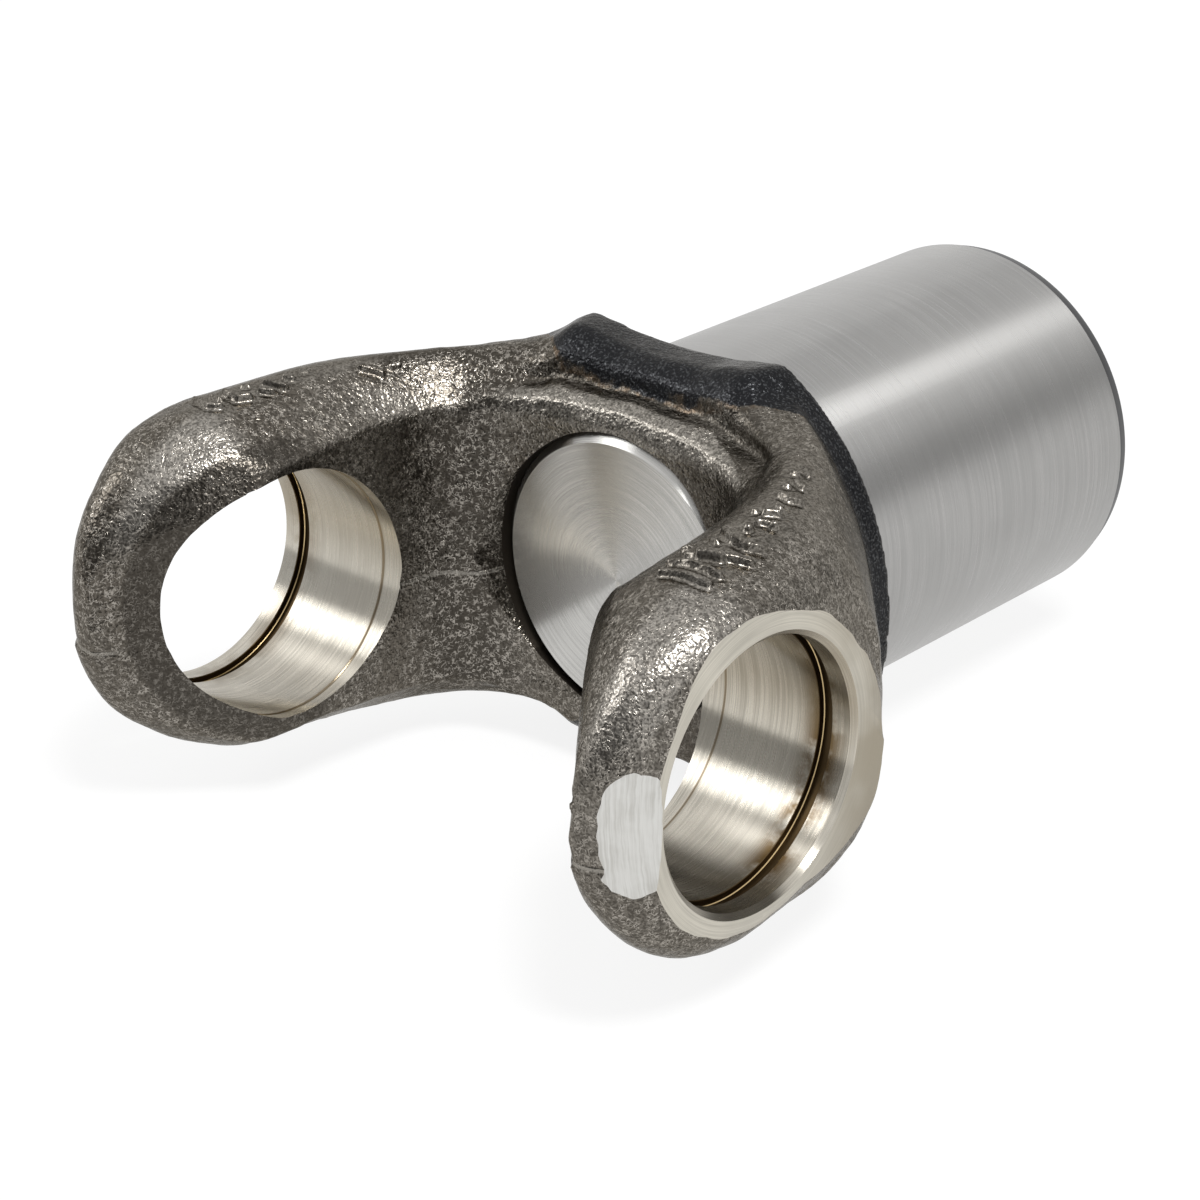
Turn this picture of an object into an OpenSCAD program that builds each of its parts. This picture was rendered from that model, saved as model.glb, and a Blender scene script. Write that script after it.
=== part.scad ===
// Forged sleeve yoke of a heavy universal joint: two ears on a solid saddle,
// a ground hub behind it with a splined bore, and a plug that closes the bore.
// The trunnion bores lie on X, the hub runs along +Y, and the joint centre is the origin.

/* [Trunnion bores] */
// Bore for the bearing caps
bore_d = 57; // [50:0.5:60]
// Distance between the inner edges of the two snap ring grooves
ring_span = 152; // [146:0.5:158]
// Width of a snap ring groove
groove_w = 3.2; // [2:0.1:4]
// Depth of a snap ring groove
groove_depth = 1.6; // [0.8:0.1:2]
// Chamfer at the mouth of each bore
mouth_chamfer = 1.2; // [0.4:0.1:2]

/* [Ears] */
// Distance across the two machined ear faces
ear_span = 170; // [166:0.5:176]
// Radius of an ear around its bore
ear_r = 41; // [39:0.5:44]
// Half of the gap between the ears, at the parting plane
ear_gap_half = 46.5; // [43:0.5:49]
// How far an ear swells past its machined face before it is faced off
ear_dome = 6.4; // [4:0.2:8]
// How far below the bore axis the inside of the nose starts to slope
nose_start = 8.5; // [5:0.5:12]
// Slope of the inside of the nose
nose_slope = 0.75; // [0.6:0.01:0.8]

/* [Arms] */
// Radius of the throat between the arms, around the joint centre
throat_r = 58; // [55:0.5:60]
// Half height of an arm at its crest
arm_half_h = 43.2; // [42:0.1:46]
// Half height of the steep inside of an ear
inner_edge_h = 30.5; // [29:0.1:32]
// How far the inside of an arm leans back between the parting plane and that edge
draft = 2.4; // [1:0.1:4]
// Height of the parting plane of the forging
parting_z = -3; // [-4:0.1:0]
// How much lower the under side is than the top
lower_drop = 1.2; // [0:0.1:2.5]
// Distance from the joint centre to the slanted outside of an arm
flank_dist = 88.7; // [87:0.1:91]
// Angle of the line at right angles to that outside
flank_angle = 40.7; // [38:0.1:43]

/* [Saddle and collar] */
// Distance from the joint centre to the saddle
saddle_y = 50.5; // [49:0.5:54]
// Radius of the turned collar
collar_r = 57.8; // [56:0.2:59]
// Width of the turned collar
collar_w = 6.5; // [4:0.5:8]
// Half height of the part of the collar that is turned to its full radius
collar_half_h = 46.4; // [42:0.2:47]
// Distance from the joint centre to the shoulder behind the collar
shoulder_y = 76; // [74:0.5:80]
// Half height of the saddle in the middle
saddle_half_h = 48.6; // [46:0.1:50]
// Half height where the arms join the collar
corner_half_h = 50.8; // [50:0.1:53]

/* [Hub] */
// Outside of the hub
hub_d = 90; // [84:0.5:92]
// Distance from the joint centre to the end of the hub
hub_end_y = 187.5; // [170:0.5:200]
// Length of the chamfer at the end of the hub
hub_chamfer_len = 3.5; // [1:0.1:5]
// Depth of that chamfer
hub_chamfer_depth = 1; // [0.4:0.1:2]

/* [Splined bore] */
// Number of spline teeth
teeth = 20; // [16:1:26]
// Bore across the tooth tips
tooth_tip_d = 60; // [56:0.5:62]
// Bore across the tooth roots
tooth_root_d = 66; // [64:0.5:67]
// Share of each pitch that a tooth fills at its root
tooth_share = 0.5; // [0.4:0.01:0.6]
// Length of the plain bore before the spline at the open end
lead_in = 9; // [4:0.5:14]
// Clear length between the plug and the spline
run_out = 10; // [6:0.5:20]
// Diameter of the plain bore at both ends of the spline
relief_d = 67; // [66:0.2:68]

/* [Plug] */
// Bore that the plug is pressed into
seat_d = 68.6; // [68.4:0.2:72]
// Distance from the joint centre to the face of the plug
plug_y = 51.3; // [51:0.1:55]
// Thickness of the plug
plug_t = 7; // [5:0.5:9]
// Chamfer around the face of the plug
plug_chamfer = 2.3; // [0.8:0.1:3]
// Chamfer around the mouth of the plug's bore
seat_chamfer = 2; // [0.5:0.1:3]
// Play left between the plug and its bore, on the radius
plug_play = 0.05; // [0.02:0.01:0.2]

/* [Ground spot] */
// Direction that the ground spot on the nose of the right ear faces, from +X towards +Y
spot_angle = -40; // [-44:1:-36]
// Distance from the joint centre to the flat of the ground spot
spot_dist = 84.4; // [83.6:0.1:86]
// Height of the ground spot
spot_h = 27; // [12:1:40]
// Height of its middle above the bore axis
spot_z = 1.5; // [-3:0.5:6]

/* [Hidden] */
$fn = 64;
face_x = ear_span / 2;
collar_y = shoulder_y - collar_w;
groove_x = ring_span / 2;
nose_x = face_x - 12;
hub_stations = [for (a = [90:-5:0]) a];
nose_stations = [for (t = [1:7]) -(ear_r - 0.6) * sin(90 * t / 7)];

// Soft smallest of three distances, given as their reciprocals
function soft_min(a, b, c, p = 14) = pow(pow(a, p) + pow(b, p) + pow(c, p), -1 / p);

// Plan radius of the throat in the direction a: gap, round throat, then saddle
function throat_at(a) = soft_min(cos(a) / ear_gap_half, 1 / throat_r, sin(a) / saddle_y);

// Plan radius of the slanted outside of an arm in the direction a
function flank_at(a) = min((flank_dist + 0.8) / cos(a - flank_angle), shoulder_y * 1.35);

// Half width of the swollen outside of an ear at the height y along the hub axis
function dome_x(y) = nose_x + (face_x + ear_dome - nose_x)
    * pow(max(0, 1 - pow(abs(2.5 - y) / (ear_r + 1.5), 2.4)), 1 / 2.4);

// Plan radius of the outside in the direction a, the dome near the ear and the flank behind it
function outside_at(a) = let (y = face_x * tan(min(a, 60)))
    y < 38 ? min(dome_x(y) / cos(a), flank_at(a)) : flank_at(a);

// Crest height of an arm in the direction a
function crest_at(a) = lookup(a, [
    [0, ear_r], [8, ear_r + 1.2], [16, arm_half_h - 0.3], [26, arm_half_h], [50, arm_half_h],
    [58, arm_half_h + 1], [64, arm_half_h + 3.2], [69, corner_half_h], [74, corner_half_h - 0.4],
    [80, saddle_half_h + 0.3], [90, saddle_half_h]]);

// Height of the inner edge, where the steep inside of an arm turns into its top
function edge_at(a) = lookup(a, [[0, inner_edge_h], [45, inner_edge_h + 1.5], [90, inner_edge_h + 4]]);

// Where the crest lies between the inside and the outside
function crest_share_at(a) = lookup(a, [[0, 0.5], [20, 0.44], [55, 0.42], [70, 0.38], [90, 0.31]]);

// How square the outer shoulder of an arm is
function shoulder_at(a) = lookup(a, [[0, 2.4], [14, 2.1], [44, 2.1], [56, 2.8], [70, 3], [90, 3]]);

function bezier(a, b, c, t) = (1 - t) * (1 - t) * a + 2 * t * (1 - t) * b + t * t * c;

// Outer quarter of a section, from the parting plane up to just before the crest
function outer_quarter(w, share, h, n) = [for (i = [0:6]) let (t = 90 * i / 7)
    [w * (share + (1 - share) * pow(cos(t), 2 / n)), h * pow(sin(t), 2 / n)]];

// Inner quarter, from the crest down to just before the parting plane
function inner_quarter(w, share, h, edge_h) =
    let (crest = [share * w, h], edge = [min(draft, share * w / 3), edge_h], foot = [0, 0],
         bend = [crest.x - 0.25 * (crest.x - edge.x), h], top = (bend + edge) / 2,
         near_top = edge + 0.35 * (bend - edge), near_foot = edge + 0.3 * (foot - edge))
    [crest, bezier(crest, bend, top, 0.5), top, near_top, bezier(near_top, edge, near_foot, 0.5),
     near_foot, near_foot * 0.5];

// One quarter set on the parting plane, above it (side 1) or below it (side -1)
function lifted(points, h, side) = [for (p = points)
    [p.x, parting_z + side * p.y * (side > 0 ? (h - parting_z) / h : (h - lower_drop + parting_z) / h)]];

function reversed(list) = [for (i = [len(list) - 1:-1:0]) list[i]];

// One section across an arm: from the plan point p_in to the plan point p_out
function arm_section(p_in, p_out, share, h, edge_h, n) =
    let (w = norm(p_out - p_in), d = (p_out - p_in) / w,
         quarter_out = outer_quarter(w, share, h, n), quarter_in = inner_quarter(w, share, h, edge_h),
         up = concat(quarter_out, quarter_in), foot = [[0, 0]],
         down = concat(foot, reversed([for (i = [1:len(up) - 1]) up[i]])),
         outline = concat(lifted(up, h, 1), lifted(down, h, -1)))
    [for (p = outline) [p_in.x + d.x * p.x, p_in.y + d.y * p.x, p.y]];

// Sections of the right half, from the middle of the saddle to the nose of the ear
function half_sections() = concat(
    [for (a = hub_stations)
        let (d = [cos(a), sin(a)])
        arm_section(throat_at(a) * d, outside_at(a) * d, crest_share_at(a), crest_at(a), edge_at(a),
            shoulder_at(a))],
    [for (y = nose_stations)
        let (x_in = throat_at(0) + nose_slope * max(0, -y - nose_start),
             h = sqrt(ear_r * ear_r - y * y))
        arm_section([min(x_in, dome_x(y) - 2), y], [dome_x(y), y], 0.5, h, h * inner_edge_h / ear_r, 2.4)]);

function mirrored(section) = [for (p = section) [-p.x, p.y, p.z]];

// Skin through a row of sections that all have the same number of points
module skin(sections) {
    n = len(sections[0]);
    last = len(sections) - 1;
    points = [for (s = sections) each s];
    sides = [for (j = [0:last - 1], i = [0:n - 1])
        let (a = j * n + i, b = j * n + (i + 1) % n) each [[a, b + n, b], [a, a + n, b + n]]];
    first_cap = [for (i = [1:n - 2]) [0, i, i + 1]];
    last_cap = [for (i = [1:n - 2]) [last * n, last * n + i + 1, last * n + i]];
    polyhedron(points, concat(sides, first_cap, last_cap));
}

// The forged U of arms, ears and saddle, before any machining
module forged_arms() {
    half = half_sections();
    left = [for (i = [len(half) - 1:-1:1]) mirrored(half[i])];
    skin(concat(left, half));
}

// A solid of revolution around the hub axis, from points [radius, distance along +Y]
module about_hub(profile) {
    rotate([-90, 0, 0]) rotate_extrude($fn = 96) polygon(profile);
}

// A solid of revolution around the trunnion axis on one side, from points [radius, distance along X]
module about_trunnion(side, profile) {
    rotate([0, side * 90, 0]) rotate_extrude() polygon(profile);
}

// Stock behind the flanks that the collar is turned from
module collar_stock() {
    high = 2 * collar_half_h - lower_drop;
    intersection() {
        about_hub([[0, collar_y], [collar_r, collar_y], [collar_r, shoulder_y], [0, shoulder_y]]);
        translate([-ear_span / 2, 0, collar_half_h - high]) cube([ear_span, 2 * shoulder_y, high]);
    }
}

// Space that the turned collar and the slanted flanks stay inside
module turned_envelope() {
    flare = tan(flank_angle + 8.6);
    about_hub([[0, -ear_r * 1.5], [collar_r + (collar_y + ear_r * 1.5) / flare, -ear_r * 1.5],
        [collar_r, collar_y], [collar_r, shoulder_y], [0, shoulder_y]]);
}

// Both ear faces, cut square to the bores
module between_faces() {
    translate([-face_x, -hub_end_y, -hub_end_y]) cube([ear_span, 2 * hub_end_y, 2 * hub_end_y]);
}

module hub_body() {
    r = hub_d / 2;
    about_hub([[0, collar_y], [r, collar_y], [r, hub_end_y - hub_chamfer_len],
        [r - hub_chamfer_depth, hub_end_y], [0, hub_end_y]]);
}

// One trunnion bore with its groove and mouth
module trunnion_bore(side) {
    r = bore_d / 2;
    about_trunnion(side, [[0, 0], [r, 0], [r, groove_x], [r + groove_depth, groove_x],
        [r + groove_depth, groove_x + groove_w], [r, groove_x + groove_w],
        [r, face_x - mouth_chamfer], [r + mouth_chamfer + 1, face_x + 1], [0, face_x + 1]]);
}

// Hub bore from the saddle to the open end, without the teeth
module plain_bore() {
    seat_end = plug_y + plug_t;
    flare_r = seat_d / 2 + seat_chamfer;
    about_hub([[0, 0], [flare_r + 8, 0], [flare_r, plug_y - seat_chamfer - 4],
        [seat_d / 2, plug_y - 1.5], [seat_d / 2, seat_end], [relief_d / 2, seat_end],
        [relief_d / 2, seat_end + run_out], [tooth_tip_d / 2, seat_end + run_out + 2],
        [tooth_tip_d / 2, hub_end_y - lead_in - 2], [relief_d / 2, hub_end_y - lead_in],
        [relief_d / 2, hub_end_y - 1.5], [relief_d / 2 + 2.5, hub_end_y + 1], [0, hub_end_y + 1]]);
}

// Gaps between the spline teeth
module tooth_gaps() {
    y_start = plug_y + plug_t + run_out;
    pitch = 360 / teeth;
    root_half = pitch * (1 - tooth_share) / 2 * 0.8;
    tip_half = pitch * (1 - tooth_share) / 2 * 1.2;
    for (i = [0:teeth - 1]) {
        rotate([-90, 0, 0]) rotate([0, 0, i * pitch]) translate([0, 0, y_start])
            linear_extrude(hub_end_y - lead_in - y_start)
                polygon([tooth_tip_d / 2 * 0.98 * [cos(-tip_half), sin(-tip_half)],
                    tooth_root_d / 2 * [cos(-root_half), sin(-root_half)],
                    tooth_root_d / 2 * [cos(root_half), sin(root_half)],
                    tooth_tip_d / 2 * 0.98 * [cos(tip_half), sin(tip_half)]]);
    }
}

// Space cleared by the grinding wheel at the nose of the right ear
module ground_spot() {
    rotate([0, 0, spot_angle]) translate([spot_dist, 0, spot_z - spot_h / 2]) cube([30, 60, spot_h]);
}

module yoke() {
    color("#5a554e")
    difference() {
        union() {
            intersection() {
                union() {
                    forged_arms();
                    collar_stock();
                }
                turned_envelope();
                between_faces();
            }
            hub_body();
        }
        trunnion_bore(1);
        trunnion_bore(-1);
        plain_bore();
        tooth_gaps();
        ground_spot();
    }
}

module end_plug() {
    r = seat_d / 2 - plug_play;
    color("#a9a7a2")
    about_hub([[0, plug_y], [r - plug_chamfer, plug_y], [r, plug_y + plug_chamfer],
        [r, plug_y + plug_t], [0, plug_y + plug_t]]);
}

yoke();
end_plug();
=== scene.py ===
"""Looks of a forged sleeve yoke: rough skin, machined bores and ear faces, ground hub, turned plug.

Lengths are in millimetres in the frame of the solids: trunnion bores on X, hub along +Y, joint centre at
the origin. They become metres when a mesh is made. The finishes and the studio work in metres.
"""
import math

import bmesh
import bpy
import numpy as np
from mathutils import Matrix, Vector, noise


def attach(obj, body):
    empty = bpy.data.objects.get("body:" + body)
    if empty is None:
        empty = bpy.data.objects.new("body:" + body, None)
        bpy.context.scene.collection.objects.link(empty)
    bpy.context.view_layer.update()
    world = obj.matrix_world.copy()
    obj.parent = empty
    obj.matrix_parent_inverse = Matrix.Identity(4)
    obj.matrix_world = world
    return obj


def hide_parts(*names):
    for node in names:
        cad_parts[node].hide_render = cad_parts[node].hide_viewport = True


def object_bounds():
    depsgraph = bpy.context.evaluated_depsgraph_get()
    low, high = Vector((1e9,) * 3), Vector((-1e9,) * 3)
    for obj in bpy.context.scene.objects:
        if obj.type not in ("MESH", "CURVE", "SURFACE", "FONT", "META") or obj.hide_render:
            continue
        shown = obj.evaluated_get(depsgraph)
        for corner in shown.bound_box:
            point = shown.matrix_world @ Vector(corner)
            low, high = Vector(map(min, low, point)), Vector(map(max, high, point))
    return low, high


MM = 0.001

# Trunnion bores and their snap ring grooves
BORE_R = 28.5
GROOVE_X = 76.0
GROOVE_W = 3.2
GROOVE_DEPTH = 1.6
MOUTH_CHAMFER = 1.2
INNER_STEP_X = 51.2

# Ears: machined faces, domes outside them and noses that round them off
FACE_X = 85.0
EAR_R = 41.0
EAR_GAP_HALF = 46.5
EAR_DOME = 6.4
DOME_Y = 2.5
DOME_REACH = EAR_R + 1.5
DOME_SQUARE = 2.4
DOME_END_Y = 38
NOSE_START = 8.5
NOSE_SLOPE = 0.75
NOSE_X = FACE_X - 12

# Arms and throat
THROAT_R = 58.0
THROAT_BLEND = 14
THROAT_SKIN_R = 55.3
ARM_H = 43.2
DRAFT = 2.4
PARTING_Z = -3.0
LOWER_DROP = 1.2
FLANK_DIST = 88.7
FLANK_STOCK = 0.8
FLANK_ANGLE = 40.7
SADDLE_Y = 50.5
SADDLE_H = 48.6
CORNER_H = 50.8

# Collar and hub
COLLAR_R = 57.8
COLLAR_Y = 69.5
COLLAR_HALF_H = 46.4
SHOULDER_Y = 76.0
FLANK_END = SHOULDER_Y * 1.35
HUB_R = 45.0
HUB_END_Y = 187.5
HUB_CHAMFER = (3.5, 1.0)

# Spline, relief and the plug in its seat
TEETH = 20
TOOTH_TIP_R = 30.0
TOOTH_ROOT_R = 33.0
TOOTH_SHARE = 0.5
LEAD_IN = 9.0
RUN_OUT = 10.0
RELIEF_R = 33.5
SEAT_R = 34.3
SEAT_CHAMFER = 2.0
PLUG_Y = 51.3
PLUG_T = 7.0
PLUG_CHAMFER = 2.3
PLUG_PLAY = 0.05

# Ground spot on the nose of the right ear
SPOT_ANGLE = -40.0
SPOT_DIST = 84.4
SPOT_Z = 2.8
SPOT_HALF_H = 22

# Fineness of the skin's mesh and of turned work
SKIN_GRID = 0.9
FINE_ROUND = 256
SHARP_ANGLE = 38

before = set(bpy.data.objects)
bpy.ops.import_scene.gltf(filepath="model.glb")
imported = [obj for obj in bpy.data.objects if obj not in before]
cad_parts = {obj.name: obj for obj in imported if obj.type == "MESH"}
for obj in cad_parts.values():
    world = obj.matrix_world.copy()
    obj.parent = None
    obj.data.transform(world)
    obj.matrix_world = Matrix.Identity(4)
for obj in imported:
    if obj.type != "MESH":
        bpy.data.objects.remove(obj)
cad_box = [list(corner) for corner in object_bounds()]

# Height of the floor in metres, with room under the solids for the lumps of the skin
FLOOR_Z = cad_box[0][2] - 0.0008


# Shape of the forging

def along_arm(a, stops, spread=3.0):
    """Smoothed reading of stops (angle from +X in plan, value), mirrored at the middle of the saddle."""
    at, value = zip(*stops)
    shifted = a + np.linspace(-spread, spread, 7)
    shifted = np.where(shifted > 90, 180 - shifted, shifted)
    return float(np.mean(np.interp(shifted, at, value)))


def throat_radius(a):
    """Plan radius of the throat: gap between the ears, round throat, then the saddle."""
    c, s = math.cos(math.radians(a)), math.sin(math.radians(a))
    gap, saddle = (c / EAR_GAP_HALF) ** THROAT_BLEND, (max(s, 0) / SADDLE_Y) ** THROAT_BLEND
    return (gap + THROAT_R ** -THROAT_BLEND + saddle) ** (-1 / THROAT_BLEND)


def flank_radius(a):
    """Plan radius of the slanted outside of an arm."""
    return min((FLANK_DIST + FLANK_STOCK) / math.cos(math.radians(a - FLANK_ANGLE)), FLANK_END)


def dome_x(y):
    """Half width of the swollen outside of an ear."""
    reach = max(0.0, 1 - (abs(DOME_Y - y) / DOME_REACH) ** DOME_SQUARE)
    return NOSE_X + (FACE_X + EAR_DOME - NOSE_X) * reach ** (1 / DOME_SQUARE)


def outside_radius(a):
    """Plan radius of the outside: the dome of the ear, then the flank."""
    y = FACE_X * math.tan(math.radians(min(a, 60)))
    if y < DOME_END_Y:
        return min(dome_x(y) / math.cos(math.radians(a)), flank_radius(a))
    return flank_radius(a)


# Readings along an arm, each at an angle from +X in plan: height of the crest, height of the edge inside it,
# where the crest stands across the arm, and how square the shoulder outside it is
CREST_HEIGHTS = [
    (0, EAR_R), (8, EAR_R + 1.2), (16, ARM_H - 0.3), (26, ARM_H), (50, ARM_H), (58, ARM_H + 1),
    (64, ARM_H + 3.2), (69, CORNER_H + 0.4), (74, CORNER_H - 0.4), (80, SADDLE_H + 0.3), (90, SADDLE_H)]
EDGE_HEIGHTS = [(0, 31.2), (10, 32.2), (20, 33.2), (60, 33.6), (75, 35.5), (90, 36.2)]
CREST_SHARES = [(0, 0.5), (20, 0.44), (55, 0.42), (70, 0.38), (90, 0.31)]
SHOULDER_SQUARES = [(0, 2.4), (14, 2.1), (44, 2.1), (56, 2.8), (70, 3), (90, 3)]


def bend_curve(a, b, c, t):
    """Point at t on the curve from a to c that bends towards b."""
    return (1 - t) ** 2 * a + 2 * t * (1 - t) * b + t * t * c


def upper_outline(width, share, height, edge, foot, tight, square):
    """Outline of one section above the parting plane, from the outside over the crest to the inside.
    edge is the corner between the top and the inner wall, foot is where the wall starts to round into it."""
    t = np.radians(np.linspace(0, 90, 33)[:-1])
    outer = np.column_stack([width * (share + (1 - share) * np.cos(t) ** (2 / square)),
                             height * np.sin(t) ** (2 / square)])
    edge, foot = np.array(edge) * (min(1, share * width / 3 / edge[0]), 1), np.array(foot)
    crest = np.array([share * width, height])
    bend = np.array([crest[0] - 0.25 * (crest[0] - edge[0]), height])
    top = (bend + edge) / 2
    near_top = edge + tight * (bend - edge)
    inner = [bend_curve(crest, bend, top, t) for t in np.linspace(0, 1, 9)]
    inner += [bend_curve(near_top, edge, foot, t) for t in np.linspace(0, 1, 11)]
    inner += [foot * s for s in np.linspace(0.92, 0.12, 9)]
    return np.vstack([outer, np.array(inner)])


def arm_section(p_in, p_out, share, height, edge, foot, tight, square):
    """Closed ring of points across an arm, between the plan points p_in and p_out."""
    p_in, p_out = np.array(p_in), np.array(p_out)
    width = np.linalg.norm(p_out - p_in)
    way = (p_out - p_in) / width
    up = upper_outline(width, share, height, edge, foot, tight, square)
    low = np.vstack([[0, 0], up[:0:-1]])
    up_z = PARTING_Z + up[:, 1] * (height - PARTING_Z) / height
    low_z = PARTING_Z - low[:, 1] * (height - LOWER_DROP + PARTING_Z) / height
    across, z = np.concatenate([up[:, 0], low[:, 0]]), np.concatenate([up_z, low_z])
    plan = p_in + np.outer(across, way)
    return np.column_stack([plan, z])


def nose_section(y):
    """Section across the nose of the right ear, whose edge opens wider away from the bore's middle."""
    x_in = throat_radius(0) + NOSE_SLOPE * max(0.0, -y - NOSE_START)
    height = math.sqrt(EAR_R ** 2 - y * y)
    opened = float(step(-y, 2.5, 11.0))
    edge = (DRAFT + 5.6 * opened, height * (0.762 + 0.10 * opened))
    foot = (DRAFT * (1 - 0.3 * opened), edge[1] * (0.93 - 0.18 * opened))
    return arm_section((min(x_in, dome_x(y) - 2), y), (dome_x(y), y), 0.5, height, edge, foot,
                       0.07 + 0.04 * opened, 2.4)


def forging_sections():
    """Sections of the U, from the nose of the left ear round the saddle to the nose of the right ear."""
    half = []
    for a in np.linspace(90, 0, 91):
        way = np.array([math.cos(math.radians(a)), math.sin(math.radians(a))])
        edge = (DRAFT, along_arm(a, EDGE_HEIGHTS))
        half.append(arm_section(
            throat_radius(a) * way, outside_radius(a) * way, along_arm(a, CREST_SHARES),
            along_arm(a, CREST_HEIGHTS, 1.5), edge, (DRAFT, 0.93 * edge[1]), 0.07,
            along_arm(a, SHOULDER_SQUARES)))
    for t in np.linspace(0, 90, 31)[1:]:
        half.append(nose_section(-(EAR_R - 0.3) * math.sin(math.radians(t))))
    left = [ring * (-1, 1, 1) for ring in reversed(half[1:])]
    return np.array(left + half)


# Mesh making

FINISHES = ["forged_skin", "bore_steel", "groove_steel", "groove_edge", "faced_steel", "ground_spot",
            "seat_steel", "spline_steel", "ground_hub", "hub_chamfer", "turned_plug"]


def wear_finishes(target, finish):
    """Gives an object every finish in the same order, so that cuts keep theirs, and puts one on its faces."""
    target.data.materials.clear()
    for name in FINISHES:
        target.data.materials.append(bpy.data.materials[name])
    for face in target.data.polygons:
        face.material_index = FINISHES.index(finish)


def mesh_object(name, points, faces, finish):
    """A mesh object from points in millimetres."""
    mesh = bpy.data.meshes.new(name)
    mesh.from_pydata((np.asarray(points, float) * MM).tolist(), [], [list(map(int, f)) for f in faces])
    shape = bmesh.new()
    shape.from_mesh(mesh)
    bmesh.ops.recalc_face_normals(shape, faces=shape.faces)
    shape.to_mesh(mesh)
    shape.free()
    made = bpy.data.objects.new(name, mesh)
    bpy.context.scene.collection.objects.link(made)
    wear_finishes(made, finish)
    return made


def ring_faces(rings, around):
    """Faces of a closed solid between rows of points that all have the same number of points."""
    faces = []
    for j in range(rings - 1):
        for i in range(around):
            a, b = j * around + i, j * around + (i + 1) % around
            faces.append((a, a + around, b + around, b))
    faces.append(tuple(range(around)))
    faces.append(tuple((rings - 1) * around + i for i in reversed(range(around))))
    return faces


def turned(name, axis, profile, finishes, around=192):
    """A solid of revolution about X or Y, from (distance along the axis, radius) pairs.
    finishes names the finish of each stretch of the profile; the last one also goes on the rest."""
    angle = np.linspace(0, 2 * math.pi, around, endpoint=False)
    c, s = np.cos(angle), np.sin(angle)
    rows = []
    for at, radius in profile:
        ring = [np.full(around, at), radius * c, radius * s]
        rows.append(np.column_stack(ring if axis == "X" else [ring[1], ring[0], ring[2]]))
    made = mesh_object(name, np.vstack(rows), ring_faces(len(rows), around), finishes[-1])
    for j, finish in enumerate(finishes[:len(profile) - 1]):
        for i in range(around):
            made.data.polygons[j * around + i].material_index = FINISHES.index(finish)
    return made


def with_modifier(target, kind, **settings):
    """Adds one modifier and makes its result the mesh."""
    modifier = target.modifiers.new(kind.lower(), kind)
    for key, value in settings.items():
        setattr(modifier, key, value)
    ready = bpy.data.meshes.new_from_object(target.evaluated_get(bpy.context.evaluated_depsgraph_get()))
    target.modifiers.clear()
    old, target.data = target.data, ready
    bpy.data.meshes.remove(old)


def joined(target, tool, operation):
    """Cuts, adds or keeps what a tool solid covers, then throws the tool away."""
    with_modifier(target, "BOOLEAN", operation=operation, object=tool, solver="MANIFOLD")
    bpy.data.objects.remove(tool)
    return target


def vertices(mesh):
    """Vertex positions in millimetres."""
    co = np.empty(len(mesh.vertices) * 3, np.float32)
    mesh.vertices.foreach_get("co", co)
    return co.reshape(-1, 3).astype(float) / MM


def set_vertices(mesh, points):
    """Moves the vertices to positions in millimetres."""
    mesh.vertices.foreach_set("co", (points * MM).astype(np.float32).ravel())
    mesh.update()


def swell(points, size, seed):
    """Smooth noise from -1 to 1 with lumps of the given size."""
    offset = Vector((seed, 2.3 * seed, -1.7 * seed))
    return np.array([noise.noise(Vector(p) / size + offset) for p in points])


def hump(value, centre, width):
    """Bell from 0 up to 1 at the centre."""
    return np.exp(-((value - centre) / width) ** 2)


def step(value, start, end):
    """Smooth change from 0 to 1 as value goes from start to end."""
    t = np.clip((value - start) / (end - start), 0, 1)
    return t * t * (3 - 2 * t)


# How far round the marks the skin is refined, and the height above which they stand
MARK_MARGIN = 1.4
MARKS_Z = 32

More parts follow.
